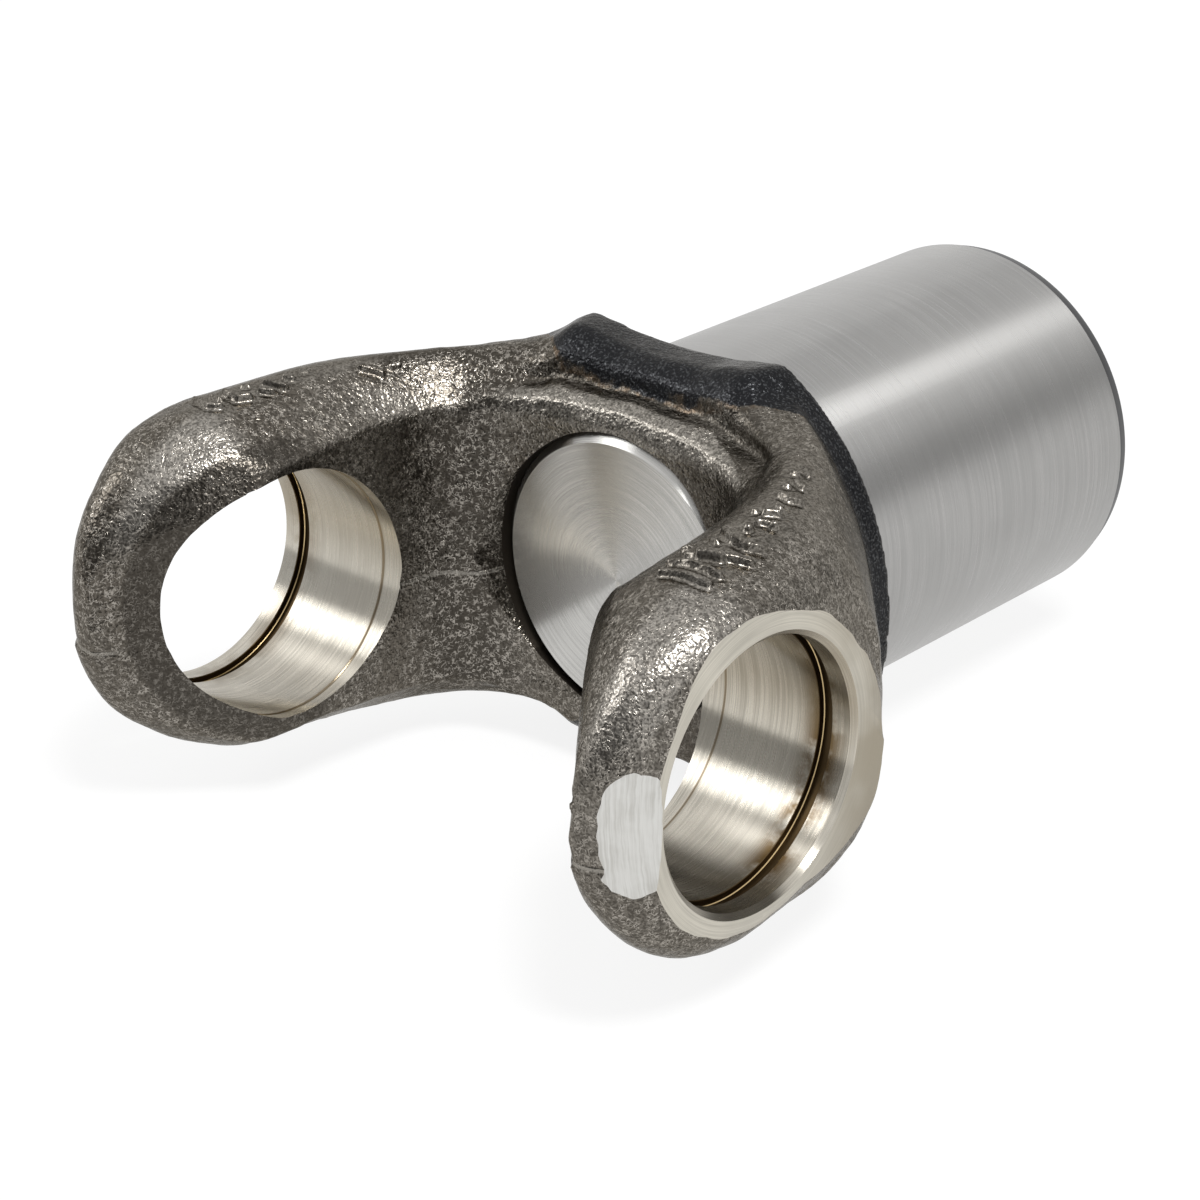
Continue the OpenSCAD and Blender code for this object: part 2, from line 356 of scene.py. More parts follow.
# Raised forging marks, plain strokes and dots: (x, y) of the bends in plan, half width, height
FORGING_MARKS = [
    ([(65.1, -7.4), (75.4, -5.6)], 0.85, 1.1), ([(63.4, -2.6), (75.0, -1.8)], 0.85, 1.1),
    ([(64.2, 1.4), (67.2, 1.6)], 0.8, 0.9), ([(67.6, 1.7), (71.0, 3.0)], 1.5, 1.9),
    ([(71.6, 3.6), (75.8, 6.4)], 0.85, 1.2), ([(60.6, 5.0), (61.0, 5.2)], 0.9, 0.9),
    ([(64.6, 8.4), (66.6, 7.4)], 0.7, 0.7),
    ([(64.8, 12.0), (69.0, 9.5), (72.2, 9.7), (74.4, 12.0)], 0.9, 1.4),
    ([(68.0, 15.1), (67.4, 18.6), (70.0, 20.2)], 0.75, 0.9), ([(68.0, 15.0), (68.2, 15.2)], 1.0, 1.3),
    ([(70.2, 20.2), (70.4, 20.4)], 1.0, 1.2), ([(63.8, 22.0), (64.0, 22.2)], 0.8, 0.8),
    ([(66.2, 22.6), (68.0, 24.6)], 0.9, 1.2), ([(64.8, 27.6), (66.2, 27.2)], 0.7, 0.6),
    ([(62.7, 31.4), (65.2, 31.2), (66.8, 33.0)], 0.75, 1.0), ([(60.4, 36.2), (60.8, 36.4)], 0.8, 0.7),
    ([(60.2, 39.6), (62.8, 38.6)], 0.7, 0.9), ([(57.2, 42.4), (57.6, 43.0)], 0.9, 0.8),
    ([(59.4, 44.8), (57.0, 46.6)], 0.6, 0.5),
    ([(-75.0, -3.4), (-68.6, -4.8), (-67.0, -3.2)], 0.85, 1.1), ([(-72.8, -0.7), (-69.2, -1.2)], 0.75, 0.9),
    ([(-71.2, 2.0), (-66.8, 1.7), (-65.6, 4.0)], 0.95, 1.3), ([(-70.4, 6.6), (-69.4, 7.2)], 0.8, 0.7),
    ([(-67.2, 10.2), (-62.9, 12.4)], 0.85, 1.2), ([(-65.6, 7.4), (-63.7, 9.0)], 0.8, 1.0),
    ([(-66.0, 15.2), (-64.6, 15.9)], 0.9, 0.9), ([(-65.2, 19.4), (-64.6, 20.6)], 0.7, 0.35),
    ([(-58.4, 30.9), (-54.8, 34.0)], 0.8, 0.9), ([(-54.6, 37.2), (-54.1, 38.6)], 0.8, 0.7)]


# Middle of the band of skin that the marks stand on, at y = 0, and how it bends inwards with y squared
BAND_X = 70
BAND_BEND = 0.0055


def stroke_distance(plan, bends):
    """Distance in plan from points to a bent stroke."""
    least = np.full(len(plan), np.inf)
    for start, end in zip(np.array(bends[:-1]), np.array(bends[1:])):
        way = end - start
        share = np.clip(((plan - start) @ way) / (way @ way), 0, 1)
        least = np.minimum(least, np.linalg.norm(plan - start - share[:, None] * way, axis=1))
    return least


def refine_marked_skin(target):
    """Splits the faces of the skin around the raised marks."""
    shape = bmesh.new()
    shape.from_mesh(target.data)
    centres = np.array([f.calc_center_median() for f in shape.faces]) / MM
    near = np.full(len(centres), np.inf)
    for bends, half_width, _ in FORGING_MARKS:
        near = np.minimum(near, stroke_distance(centres[:, :2], bends) - half_width)
    shape.faces.ensure_lookup_table()
    chosen = [shape.faces[i] for i in np.where((near < MARK_MARGIN) & (centres[:, 2] > MARKS_Z))[0]]
    edges = list({e for f in chosen for e in f.edges})
    bmesh.ops.subdivide_edges(shape, edges=edges, cuts=2, use_grid_fill=True)
    bmesh.ops.triangulate(shape, faces=[f for f in shape.faces if len(f.verts) > 4])
    shape.to_mesh(target.data)
    shape.free()


def marks_lift(points):
    """How far the raised marks stand off the skin, with a shallow dip round each."""
    lift, dip = np.zeros(len(points)), np.zeros(len(points))
    for bends, half_width, height in FORGING_MARKS:
        off = stroke_distance(points[:, :2], bends)
        lift = np.maximum(lift, height * (1 - step(off, 0.35 * half_width, 1.15 * half_width)))
        dip = np.maximum(dip, hump(off, 1.9 * half_width, 0.7 * half_width))
    return np.where(lift > 0.02, lift, -0.22 * dip) * step(points[:, 2], MARKS_Z, MARKS_Z + 3)


def marks_field(points):
    """1 on the calmer band of skin that the marks stand on, 0 well off it."""
    x, y, z = points.T
    off = np.abs(np.abs(x) - BAND_X + BAND_BEND * y ** 2)
    return (1 - step(off, 5, 7.5)) * step(y, -11, -8) * (1 - step(y, 47, 52)) * step(z, 33, 36)


def flash_height(y):
    """Height of the parting line: lower on the noses than in the throat."""
    return PARTING_Z - 2.8 - 1.6 * step(-y, 5, 30)


# Where the machined face of an ear ends: (angle round the bore from the hub's side upwards, radius)
FACE_RIM = [
    (-180, 32.0), (-146, 33.4), (-133, 33.1), (-118, 32.2), (-98, 31.1), (-78, 31.2), (-65, 31.6),
    (-53, 34.1), (-44, 35.8), (-36, 38.3), (-29, 40.0), (-21, 39.7), (-11, 38.6), (0, 37.3), (14, 36.0),
    (29, 34.6), (44, 34.0), (56, 34.0), (71, 33.6), (85, 34.2), (100, 35.4), (115, 36.0), (125, 34.8),
    (137, 32.9), (149, 32.2), (180, 32.0)]


def shape_domes(points, normals):
    """Swells or lowers the outside of each ear so that its machined face ends where it should."""
    moved = points.copy()
    for side in (-1, 1):
        out = side * points[:, 0]
        turn = np.degrees(np.arctan2(points[:, 2], points[:, 1]))
        far = np.hypot(points[:, 1], points[:, 2])
        # Skin of this ear's outside between the bore and the edge of the ear
        dome = (out > 74) & (side * normals[:, 0] > 0.15) & (far > 24) & (far < 43)
        angles, raise_by = np.arange(-180, 181, 6), []
        # Height of the skin along the rim at each angle, and how far it is from the machined face
        for angle in angles:
            off = np.abs((turn - angle + 180) % 360 - 180)
            near = np.where(dome & (off < 5))[0]
            rim = np.interp(angle, *zip(*FACE_RIM))
            weight = np.exp(-((far[near] - rim) / 0.9) ** 2)
            height = (weight @ out[near]) / weight.sum() if weight.sum() > 0.5 else FACE_X
            raise_by.append(FACE_X - height)
        amount = np.interp(turn, angles, np.clip(raise_by, -4, 4))
        share = step(out, 73, 79) * step(far, 22, 27) * (1 - step(far, 38.5, 42.5))
        moved[:, 0] += side * amount * share * step(side * normals[:, 0], -0.1, 0.35)
    return moved


def collar_stock():
    """Disc behind the flanks that the collar is turned from."""
    profile = [(COLLAR_Y, 0.5), (COLLAR_Y, COLLAR_R), (SHOULDER_Y, COLLAR_R), (SHOULDER_Y, 0.5)]
    disc = turned("collar_stock", "Y", profile, ["forged_skin"], FINE_ROUND)
    slab = block("slab", (-90, 60, LOWER_DROP - COLLAR_HALF_H), (90, 90, COLLAR_HALF_H), "forged_skin")
    return joined(disc, slab, "INTERSECT")


# Height of the lip and depth of the crease, each against the distance out from the throat's wall
LIP = ([1.0, 3.0, 4.6, 6.2, 7.2], [0.0, 1.0, 1.7, 0.8, 0.0])
CREASE = ([6.2, 7.2, 8.2, 9.2, 10.4, 11.6, 14.0], [0.0, -0.7, -2.0, -1.8, -0.6, -0.1, 0.0])

# Lumps of the skin: (height, size, seed of the noise)
LUMPS = [(0.22, 9.0, 3), (0.11, 3.6, 11), (0.05, 1.7, 5)]


def throat_relief(x, y, z):
    """Lip that rolls over the top and bottom of the throat, and the crease behind it."""
    over = step(np.abs(z), 30, 34) * (1 - step(np.abs(x), 31, 43)) * step(y, 44, 48)
    crease = step(z, 30, 34) * (1 - step(x, 38, 49)) * step(x, -36, -26) * step(y, 41, 46)
    crease = np.maximum(crease, over * step(-z, 30, 34))
    reach = np.hypot(x, y) - np.array([throat_radius(a) for a in np.degrees(np.arctan2(y, np.abs(x)))])
    return over * np.interp(reach, *LIP) + crease * np.interp(reach, *CREASE)


def skin_lumps(points):
    """Lumps of the skin, lower on the band of the marks, on the collar and on the noses."""
    y = points[:, 1]
    lumps = sum(height * swell(points, size, seed) for height, size, seed in LUMPS)
    calm = np.maximum(0.6 * marks_field(points), 0.8 * step(y, COLLAR_Y - 1, COLLAR_Y))
    return lumps * (1 - np.maximum(calm, 0.6 * step(-y, 33, 38)))


def rough_forging():
    """The forged U before machining, with its lip, crease, flash step, marks and lumps."""
    rings = forging_sections()
    forging = mesh_object("forging", rings.reshape(-1, 3), ring_faces(len(rings), rings.shape[1]),
                          "forged_skin")
    joined(forging, collar_stock(), "UNION")
    # Cone round the arms that runs down to the collar, a little wider open than the flanks
    flare = math.tan(math.radians(FLANK_ANGLE + 8.6))
    far = -EAR_R * 1.5
    envelope = turned("envelope", "Y", [
        (far, 0.5), (far, COLLAR_R + (COLLAR_Y - far) / flare), (COLLAR_Y, COLLAR_R), (SHOULDER_Y, COLLAR_R),
        (SHOULDER_Y, 0.5)], ["forged_skin"], FINE_ROUND)
    joined(forging, envelope, "INTERSECT")
    with_modifier(forging, "REMESH", mode="VOXEL", voxel_size=SKIN_GRID * MM, adaptivity=0)
    with_modifier(forging, "SMOOTH", factor=0.5, iterations=2)
    refine_marked_skin(forging)
    wear_finishes(forging, "forged_skin")
    mesh = forging.data
    normals = np.array([v.normal for v in mesh.vertices])
    points = shape_domes(vertices(mesh), normals)
    x, y, z = points.T
    lift = throat_relief(x, y, z)
    # Step under the flash, higher on the noses
    lift += (0.3 + 0.5 * step(-y, 25, 37)) * step(-z, -flash_height(y), 0.7 - flash_height(y))
    lift += skin_lumps(points) + marks_lift(points)
    # Lower halves of the ears sit a little off the upper ones
    shifted = step(-z, 4, 22) * step(-y, -12, 12)
    set_vertices(mesh, points + normals * lift[:, None] + shifted[:, None] * np.array([0, 1.3, -1.3]))
    return forging


# Machining

def bore_tool():
    """Turned tool for both trunnion bores, with their grooves and mouths."""
    mouth = FACE_X - MOUTH_CHAMFER
    groove_end = GROOVE_X + GROOVE_W
    corner, outer_break, inner_break, inner_step = 0.16, 0.15, 0.12, 0.18
    floor = BORE_R + GROOVE_DEPTH
    wall = floor - corner
    side = [
        (FACE_X + 3, BORE_R + MOUTH_CHAMFER + 3), (mouth, BORE_R), (groove_end + outer_break, BORE_R),
        (groove_end, BORE_R + outer_break), (groove_end, wall), (groove_end - corner, floor),
        (GROOVE_X + corner, floor), (GROOVE_X, wall), (GROOVE_X, BORE_R + inner_break),
        (GROOVE_X - inner_break, BORE_R), (INNER_STEP_X, BORE_R), (INNER_STEP_X - 0.2, BORE_R + inner_step),
        (40, BORE_R + inner_step)]
    profile = [(-x, r) for x, r in side] + [(x, r) for x, r in reversed(side)]
    bore, groove, edge = ["bore_steel"], ["groove_steel"], ["groove_edge"]
    bands = bore * 2 + groove * 2 + edge + groove + edge + groove * 2 + bore * 3
    return turned("bore_tool", "X", profile, bands + bore + bands[::-1] + bore, FINE_ROUND)


def block(name, low, high, finish):
    """A plain block between two corners."""
    corners = [(x, y, z) for x in (low[0], high[0]) for y in (low[1], high[1]) for z in (low[2], high[2])]
    faces = [(0, 1, 3, 2), (4, 6, 7, 5), (0, 4, 5, 1), (2, 3, 7, 6), (0, 2, 6, 4), (1, 5, 7, 3)]
    return mesh_object(name, corners, faces, finish)


def face_tool(side):
    """Block that faces one ear off square to its bore."""
    ends = sorted([side * FACE_X, side * (FACE_X + 30)])
    return block("face_tool", (ends[0], -90, -90), (ends[1], 120, 90), "faced_steel")


def spot_tool():
    """Slightly hollow-ended block that grinds the flat spot on the nose of the right ear."""
    high, rows = np.linspace(-SPOT_HALF_H, SPOT_HALF_H, 23), []
    for along in np.linspace(8, 60, 27):
        waves = 0.1 * np.sin(1.7 * high + along)
        depth = SPOT_DIST - 0.1 + 2.6 * (high / SPOT_HALF_H) ** 2 + waves
        rows.append(np.column_stack([depth, np.full(len(high), along), SPOT_Z + high]))
    front = np.array(rows).reshape(-1, 3)
    behind = front * (0, 1, 1) + (SPOT_DIST + 30, 0, 0)
    c, s = math.cos(math.radians(SPOT_ANGLE)), math.sin(math.radians(SPOT_ANGLE))
    points = np.vstack([front, behind]) @ np.array([[c, s, 0], [-s, c, 0], [0, 0, 1]])
    return mesh_object("spot_tool", points, slab_faces(len(rows), len(high)), "ground_spot")


def slab_faces(rows, columns):
    """Faces of a slab made of two sheets of points, one behind the other."""
    def at(sheet, j, i):
        return (sheet * rows + j) * columns + i
    faces = []
    for j in range(rows - 1):
        for i in range(columns - 1):
            faces.append((at(0, j, i), at(0, j + 1, i), at(0, j + 1, i + 1), at(0, j, i + 1)))
            faces.append((at(1, j, i), at(1, j, i + 1), at(1, j + 1, i + 1), at(1, j + 1, i)))
    rim = [(j, 0) for j in range(rows)] + [(rows - 1, i) for i in range(1, columns)]
    rim += [(j, columns - 1) for j in range(rows - 2, -1, -1)] + [(0, i) for i in range(columns - 2, 0, -1)]
    for (j, i), (k, m) in zip(rim, rim[1:] + rim[:1]):
        faces.append((at(0, j, i), at(0, k, m), at(1, k, m), at(1, j, i)))
    return faces


def hub_bore_tool():
    """Turned tool for the plug's seat and the plain parts of the hub bore."""
    seat_end, flare = PLUG_Y + PLUG_T, SEAT_R + SEAT_CHAMFER
    start, stop = seat_end + RUN_OUT, HUB_END_Y - LEAD_IN
    profile = [
        (0, flare + 9), (PLUG_Y - 7.5, flare + 0.8), (PLUG_Y - 4, flare - 1.0), (PLUG_Y - 1.2, SEAT_R),
        (seat_end, SEAT_R), (seat_end, RELIEF_R), (start, RELIEF_R), (start + 2, TOOTH_TIP_R),
        (stop - 2, TOOTH_TIP_R), (stop, RELIEF_R), (HUB_END_Y - 1.5, RELIEF_R),
        (HUB_END_Y + 1, RELIEF_R + 2.5)]
    bands = ["forged_skin"] * 3 + ["seat_steel"] * 2 + ["spline_steel"] * 7
    return turned("hub_bore_tool", "Y", profile, bands)


def hub():
    """Ground hub with the chamfer at its open end."""
    long, deep = HUB_CHAMFER
    edge = HUB_END_Y - long
    profile = [(COLLAR_Y, 20), (COLLAR_Y, HUB_R), (edge, HUB_R), (HUB_END_Y, HUB_R - deep), (HUB_END_Y, 20)]
    bands = ["ground_hub", "ground_hub", "hub_chamfer", "spline_steel"]
    return turned("hub", "Y", profile, bands, FINE_ROUND)


# Spline

def spline_gap():
    """Tapered bar that cuts one gap between two spline teeth, at the top of the bore."""
    start, stop = PLUG_Y + PLUG_T + RUN_OUT, HUB_END_Y - LEAD_IN
    pitch = 2 * math.pi / TEETH
    root, tip = (pitch * (1 - TOOTH_SHARE) / 2 * k for k in (0.8, 1.2))
    open_r = TOOTH_TIP_R * 0.98
    section = [(open_r, -tip), (TOOTH_ROOT_R, -root), (TOOTH_ROOT_R, root), (open_r, tip)]
    points = [(r * math.sin(a), y, r * math.cos(a)) for y in (start, stop) for r, a in section]
    return mesh_object("spline_gaps", points, ring_faces(2, 4), "spline_steel")


def round_the_hub():
    """Node group that sets copies of a mesh round the hub axis."""
    tree = bpy.data.node_groups.new("round_the_hub", "GeometryNodeTree")
    face = tree.interface
    face.new_socket("Geometry", in_out="INPUT", socket_type="NodeSocketGeometry")
    face.new_socket("Teeth", in_out="INPUT", socket_type="NodeSocketInt")
    face.new_socket("Finish", in_out="INPUT", socket_type="NodeSocketMaterial")
    face.new_socket("Geometry", in_out="OUTPUT", socket_type="NodeSocketGeometry")
    add, link = tree.nodes.new, tree.links.new
    given, out = add("NodeGroupInput"), add("NodeGroupOutput")
    places, index = add("GeometryNodePoints"), add("GeometryNodeInputIndex")
    link(given.outputs["Teeth"], places.inputs["Count"])
    share, turn = add("ShaderNodeMath"), add("ShaderNodeMath")
    share.operation, turn.operation = "DIVIDE", "MULTIPLY"
    link(index.outputs[0], share.inputs[0])
    link(given.outputs["Teeth"], share.inputs[1])
    link(share.outputs[0], turn.inputs[0])
    turn.inputs[1].default_value = 2 * math.pi
    angles = add("ShaderNodeCombineXYZ")
    link(turn.outputs[0], angles.inputs["Y"])
    copies = add("GeometryNodeInstanceOnPoints")
    link(places.outputs[0], copies.inputs["Points"])
    link(given.outputs["Geometry"], copies.inputs["Instance"])
    link(angles.outputs[0], copies.inputs["Rotation"])
    real, paint = add("GeometryNodeRealizeInstances"), add("GeometryNodeSetMaterial")
    link(copies.outputs["Instances"], real.inputs["Geometry"])
    link(real.outputs["Geometry"], paint.inputs["Geometry"])
    link(given.outputs["Finish"], paint.inputs["Material"])
    link(paint.outputs["Geometry"], out.inputs["Geometry"])
    return tree


def spline_tool():
    """All the gaps between the spline teeth, as one tool."""
    gaps, tree = spline_gap(), round_the_hub()
    modifier = gaps.modifiers.new("round_the_hub", "NODES")
    modifier.node_group = tree
    values = {"Teeth": TEETH, "Finish": bpy.data.materials["spline_steel"]}
    for socket in tree.interface.items_tree:
        if socket.in_out == "INPUT" and socket.name in values:
            modifier[socket.identifier] = values[socket.name]
    ready = bpy.data.meshes.new_from_object(gaps.evaluated_get(bpy.context.evaluated_depsgraph_get()))
    gaps.modifiers.clear()
    gaps.data = ready
    wear_finishes(gaps, "spline_steel")
    return gaps


# Finishes

class Finish:
    """A material whose nodes read the place on the object."""

    def __init__(self, name, **fixed):
        self.material = bpy.data.materials.new(name)
        self.material.use_nodes = True
        self.tree = self.material.node_tree
        self.shader = self.tree.nodes["Principled BSDF"]
        for socket, value in fixed.items():
            self.shader.inputs[socket.replace("_", " ").title()].default_value = value
        self.place = self.tree.nodes.new("ShaderNodeTexCoord").outputs["Object"]
        axes = self.add("ShaderNodeSeparateXYZ", {0: self.place})
        self.x, self.y, self.z = axes.outputs

    def add(self, kind, given, **settings):
        """A node, with a link or a value for each of the given sockets."""
        node = self.tree.nodes.new(kind)
        for key, value in settings.items():
            setattr(node, key, value)
        for key, value in given.items():
            if isinstance(value, bpy.types.NodeSocket):
                self.tree.links.new(value, node.inputs[key])
            else:
                node.inputs[key].default_value = value
        return node

    def calc(self, operation, a, b=0.0):
        """One step of arithmetic."""
        return self.add("ShaderNodeMath", {0: a, 1: b}, operation=operation).outputs[0]

    def times(self, first, *others):
        """Product of several values."""
        for other in others:
            first = self.calc("MULTIPLY", first, other)
        return first

    def plus(self, first, *others):
        """Sum of several values."""
        for other in others:
            first = self.calc("ADD", first, other)
        return first

    def most(self, first, *others):
        """Largest of several values."""
        for other in others:
            first = self.calc("MAXIMUM", first, other)
        return first

    def less(self, a, b):
        """First value minus the second."""
        return self.calc("SUBTRACT", a, b)

    def off(self, value, middle):
        """How far a value lies from a middle, either way."""
        return self.calc("ABSOLUTE", self.less(value, middle))

    def ramp(self, value, start, end, low=0.0, high=1.0):
        """Smooth change from low to high as value goes from start to end."""
        given = {"Value": value, "From Min": start, "From Max": end, "To Min": low, "To Max": high}
        return self.add("ShaderNodeMapRange", given, interpolation_type="SMOOTHSTEP").outputs[0]

    def vector(self, x, y, z):
        """Three values as one vector."""
        return self.add("ShaderNodeCombineXYZ", {0: x, 1: y, 2: z}).outputs[0]

    def grain(self, scale, detail=2.0, roughness=0.5, distortion=0.0, at=None):
        """Noise from 0 to 1 with about scale lumps per metre."""
        given = {"Vector": at or self.place, "Scale": scale, "Detail": detail, "Roughness": roughness,
                 "Distortion": distortion}
        return self.add("ShaderNodeTexNoise", given).outputs["Fac"]

    def blend(self, share, first, second):
        """Colour between two colours."""
        given = {0: share, 6: first, 7: second}
        return self.add("ShaderNodeMix", given, data_type="RGBA").outputs[2]

    def angle(self, across, up):
        """Angle round an axis, from the two distances at right angles to it."""
        return self.calc("ARCTAN2", across, up)

    def radius(self, across, up):
        """Distance from an axis, from the two distances at right angles to it."""
        return self.calc("SQRT", self.plus(self.calc("POWER", across, 2.0), self.calc("POWER", up, 2.0)))

    def wear(self, socket, value):
        """Leads a value to the shader."""
        self.tree.links.new(value, self.shader.inputs[socket])

    def relief(self, height, strength, depth):
        """Bumps the surface by a height from 0 to 1 that stands for depth in metres."""
        given = {"Height": height, "Strength": strength, "Distance": depth}
        self.wear("Normal", self.add("ShaderNodeBump", given).outputs[0])


def rgb(r, g, b):
    """Colour for a socket."""
    return (r, g, b, 1.0)


# Colours of the forged skin
SKIN_DARK = rgb(0.114, 0.101, 0.084)
SKIN_LIGHT = rgb(0.146, 0.133, 0.114)
# Pale skin for the painted sheen on the lip, the right flank and the top, and for the smoother band under the
# marks
PAINTED_SHEEN_AND_BAND = rgb(0.30, 0.282, 0.252)
# Painted highlight on the rims of the ears
PAINTED_RIM_HIGHLIGHT = rgb(0.34, 0.32, 0.29)
# Flat tone of the throat's wall, where painted shade also damps the bright curls
THROAT_WALL = rgb(0.17, 0.15, 0.123)
# Painted shade that dims the highlight on the top of the left arm
ARM_TOP_SHADE = rgb(0.052, 0.046, 0.038)
# Painted shade on the throat's wall under the lip, to the right of the plug
UNDER_LIP_SHADE = rgb(0.040, 0.033, 0.026)
# Painted shade in the crease behind the lip
CREASE_SHADE = rgb(0.036, 0.032, 0.026)
# Painted shade on the inner sides of the ears, round the bores
EAR_INSIDE_SHADE = rgb(0.045, 0.040, 0.034)
PIT = rgb(0.040, 0.035, 0.029)
# Darker in the low spots of the lumps
LUMP_LOW_DARK = rgb(0.05, 0.044, 0.037)
# Paler curly ridges, partly the skin's own and partly painted glints
BRIGHT_CURL = rgb(0.50, 0.465, 0.415)
FLASH_LINE = rgb(0.34, 0.32, 0.285)
RUST = rgb(0.15, 0.098, 0.058)
SCALE_BLACK = rgb(0.011, 0.0115, 0.0135)
SCALE_SPECK = rgb(0.12, 0.125, 0.13)
GRAZING_TINT = rgb(0.60, 0.585, 0.56)

# Colours of the bores and the ground spot
# Painted light that makes the back of the left bore paler
BORE_PAINTED_LIGHT = rgb(0.70, 0.67, 0.60)
BORE_BROWN = rgb(0.13, 0.08, 0.03)
# Warmer and darker towards the top of the bores
BORE_WARM = rgb(0.24, 0.19, 0.115)
# Painted dark reflection on the bottom of the right bore
BORE_DARK_REFLECTION = rgb(0.10, 0.09, 0.072)
BORE_EDGE = rgb(0.16, 0.11, 0.05)
# Darker, warmer tone of the ear faces towards the hub
FACE_DULL = rgb(0.36, 0.32, 0.25)
SPOT_DARK = rgb(0.53, 0.52, 0.49)
SPOT_LIGHT = rgb(0.66, 0.655, 0.63)


def mark_band(f, out):
    """1 on the calmer band of skin that the raised marks stand on."""
    middle = f.less(BAND_X * MM, f.times(BAND_BEND / MM, f.calc("POWER", f.y, 2.0)))
    band = f.times(f.ramp(f.off(out, middle), 0.0075, 0.005), f.ramp(f.z, 0.033, 0.036))
    return f.times(band, f.ramp(f.y, -0.011, -0.008), f.ramp(f.y, 0.052, 0.047))


def sheen_and_band_skin(f, skin, out, band, over, reach, from_bore):
    """Painted light on the skin: painted sheen on the lip of the throat, on the right flank and towards the
    right and the top, a painted highlight on the rims of the ears, and a paler band of smoother skin under
    the marks.
    """
    # Painted sheen along the lip of the throat
    lip = f.times(f.ramp(reach, -0.003, 0.001), f.ramp(reach, 0.0066, 0.0054), over)
    # Painted light: lighter towards the right side and a little towards the top
    high = f.times(f.ramp(f.z, -0.050, 0.020, 0.8, 1.0), f.ramp(f.x, -0.030, 0.040, 0.0, 0.26))
    # Painted light on the right flank
    flank = f.times(f.ramp(f.x, 0.060, 0.068), f.ramp(f.y, 0.004, 0.020, 0.0, 0.45))
    skin = f.blend(f.times(f.most(high, flank, lip, f.times(band, 0.5)), 0.75), skin, PAINTED_SHEEN_AND_BAND)
    # Painted highlight on the upper rims of the ears
    left_rim = f.times(f.ramp(f.x, -0.071, -0.067), f.ramp(f.x, -0.045, -0.055))
    rims = f.most(f.ramp(f.x, 0.070, 0.074), left_rim)
    rims = f.times(rims, f.ramp(from_bore, 0.0350, 0.0364), f.ramp(f.y, -0.002, -0.010),
                   f.ramp(f.z, 0.010, 0.024))
    return f.blend(f.times(rims, 0.8), skin, PAINTED_RIM_HIGHLIGHT)


def painted_shade_skin(f, skin, out, over, reach, from_bore):
    """Painted shade on the skin: on the throat's wall, the top of the left arm, under the lip, in the crease
    and inside the ears. Also returns how much shade is painted at each place.
    """
    # Painted shade on the throat's wall: a flat tone, and fewer bright curls through the returned share
    wall = f.times(f.ramp(reach, 0.001, -0.001), f.ramp(f.y, 0.016, 0.030))
    skin = f.blend(f.times(wall, 0.25), skin, THROAT_WALL)
    # Painted shade that dims the highlight on the top of the left arm
    arm = f.times(f.ramp(f.x, -0.026, -0.036), f.ramp(f.y, 0.030, 0.040))
    skin = f.blend(f.times(arm, 0.8), skin, ARM_TOP_SHADE)
    # Painted shade on the throat's wall under the lip, to the right of the plug
    under_lip = f.times(f.ramp(f.z, 0.0375, 0.0325), f.ramp(f.y, 0.038, 0.044),
                        f.ramp(f.x, 0.010, 0.022), f.ramp(f.x, 0.046, 0.040))
    skin = f.blend(f.times(under_lip, 0.5), skin, UNDER_LIP_SHADE)
    # Painted shade in the crease behind the lip
    crease = f.times(f.ramp(reach, 0.0054, 0.0066), f.ramp(reach, 0.0150, 0.0120), over,
                     f.ramp(f.x, -0.036, -0.022), f.ramp(f.x, 0.046, 0.036))
    skin = f.blend(f.times(crease, 0.7), skin, CREASE_SHADE)
    # Painted shade on the inner sides of the ears, round the bores
    inside = f.times(f.ramp(from_bore, 0.0358, 0.0345), f.ramp(out, 0.070, 0.066), f.ramp(f.y, 0.012, 0.002))
    skin = f.blend(f.times(inside, 0.7), skin, EAR_INSIDE_SHADE)
    return skin, f.most(inside, f.times(wall, 0.85), under_lip, crease)


def rusty_border(f, skin, out):
    """Thin rust in front of the black scale. Also returns where the scale lies."""
    wander = f.times(f.less(f.grain(120.0, 4.0, 0.6), 0.5), 0.004)
    border = f.plus(f.ramp(out, 0.026, 0.044, 0.0602, 0.0685), f.ramp(f.x, -0.023, -0.032, 0.0, 0.003))
    past = f.less(f.y, f.plus(border, wander))
    rust = f.times(f.ramp(past, -0.0009, -0.0003), f.ramp(f.grain(300.0, 3.0), 0.38, 0.62),
                   f.ramp(f.x, -0.018, -0.026, 0.35, 0.75))
    return f.blend(rust, skin, RUST), f.ramp(past, -0.0002, 0.0003)


def flash_mark(f, from_bore):
    """Line of the flash, in the throat and round the outside of the ears."""
    sway = f.times(f.less(f.grain(45.0, 1.0), 0.5), 0.0030)
    line_at = f.plus(sway, f.ramp(f.y, -0.030, -0.005, -0.0074, -0.0058))
    line = f.ramp(f.off(f.z, line_at), 0.0006, 0.0002)
    return f.times(line, f.most(f.ramp(f.y, 0.0, 0.010), f.ramp(from_bore, 0.036, 0.0385)))


